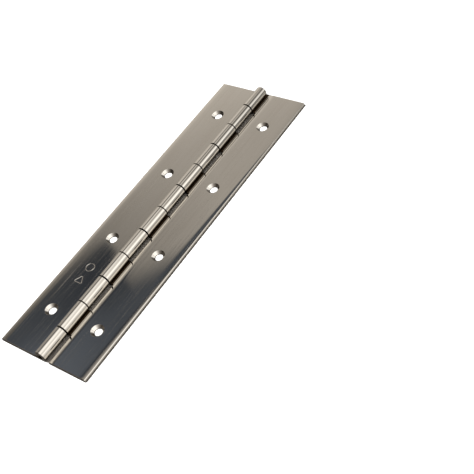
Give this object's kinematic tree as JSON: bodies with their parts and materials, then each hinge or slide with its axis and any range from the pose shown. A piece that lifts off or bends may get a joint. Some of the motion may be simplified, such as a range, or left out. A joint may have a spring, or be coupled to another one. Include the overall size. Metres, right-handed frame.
{
  "type": "piano hinge",
  "caption": "Continuous hinge of two stainless sheet leaves with rolled interleaved knuckles on one long pin, and countersunk screw holes along both leaves.",
  "frame": {"origin": "on the back face of the leaves, under the middle of the pin, with the hinge lying open flat", "axes": "+Z out of the countersunk face, +Y along the pin from the first knuckle to the last, +X across the hinge towards the leaf with the even knuckles"},
  "size_m": [0.051, 0.18, 0.0059],
  "materials": {
    "leaf_steel": "polished stainless sheet with fine lengthwise brush marks",
    "pin_steel": "drawn stainless wire, satin"
  },
  "bodies": {
    "left_side": {"left_leaf": "leaf_steel", "hinge_pin": "pin_steel"},
    "right_side": {"right_leaf": "leaf_steel"}
  },
  "joints": [
    {"name": "leaf_swing", "type": "hinge", "parent": "left_side", "child": "right_side", "pos_m": [0, 0, 0.00295], "axis": [0, -1, 0], "range_deg": [-90, 180]}
  ]
}
